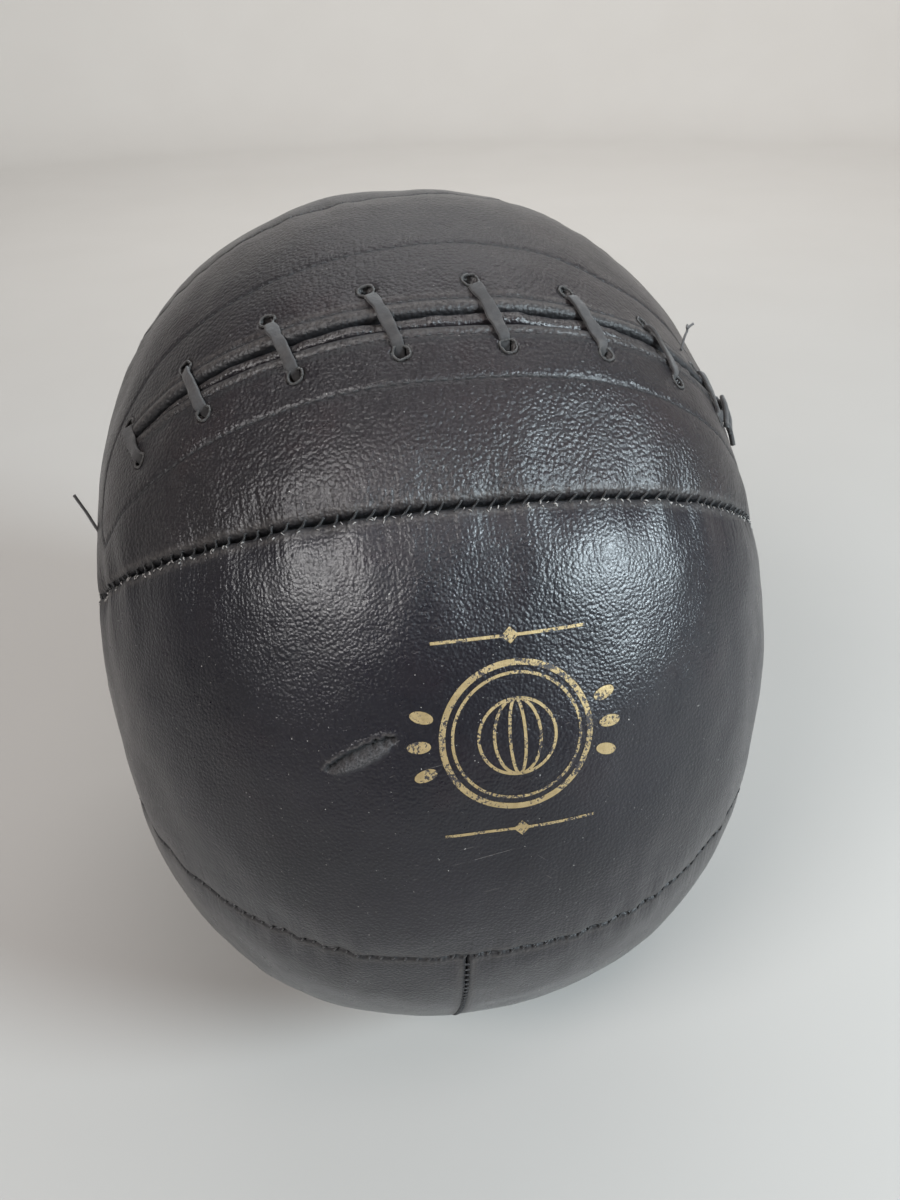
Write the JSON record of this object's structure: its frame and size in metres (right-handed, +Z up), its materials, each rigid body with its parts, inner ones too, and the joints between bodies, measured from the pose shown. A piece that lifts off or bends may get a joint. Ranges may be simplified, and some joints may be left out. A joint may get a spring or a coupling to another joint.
{
  "type": "laced leather medicine ball",
  "caption": "Stuffed leather exercise ball sewn from long gores, with a laced slit in one gore and a small flat it rests on.",
  "frame": {"origin": "on the floor, under the middle of the ball's bounding box", "axes": "+X runs through the two poles where the gores meet, towards the ball's right seen from the front; -Y is the front, which carries the foil mark; +Z is up"},
  "size_m": [0.23, 0.3, 0.294],
  "materials": {
    "leather": "worn glazed black hide with a fine grain",
    "laced_leather": "worn matt black hide with a coarser grain",
    "thread": "dark waxed linen thread",
    "lace": "matt grey-black leather thong",
    "tongue": "pale grey rubbed leather",
    "canvas": "unbleached canvas",
    "stuffing": "packed rag and hair",
    "foil": "worn gold foil"
  },
  "bodies": {
    "root": {"laced_panel": "laced_leather", "front_panel": "leather", "upper_back_panel": "leather", "back_panel": "leather", "lower_back_panel": "leather", "bottom_panel": "leather", "lower_front_left_panel": "leather", "lower_front_right_panel": "leather", "left_end_cap": "leather", "right_end_cap": "leather", "upper_front_seam_thread": "thread", "top_seam_thread": "thread", "upper_back_seam_thread": "thread", "lower_back_seam_thread": "thread", "bottom_back_seam_thread": "thread", "bottom_front_seam_thread": "thread", "lower_front_seam_thread": "thread", "cross_seam_thread": "thread", "left_cap_thread": "thread", "right_cap_thread": "thread", "facing_stitching": "thread", "upper_lip_stitching": "thread", "lower_lip_stitching": "thread", "lace": "lace", "left_lace_tail": "lace", "right_lace_knot": "lace", "lace_tongue": "tongue", "lace_facing": "laced_leather", "canvas_liner": "canvas", "stuffing": "stuffing", "foil_emblem": "foil"}
  },
  "joints": []
}
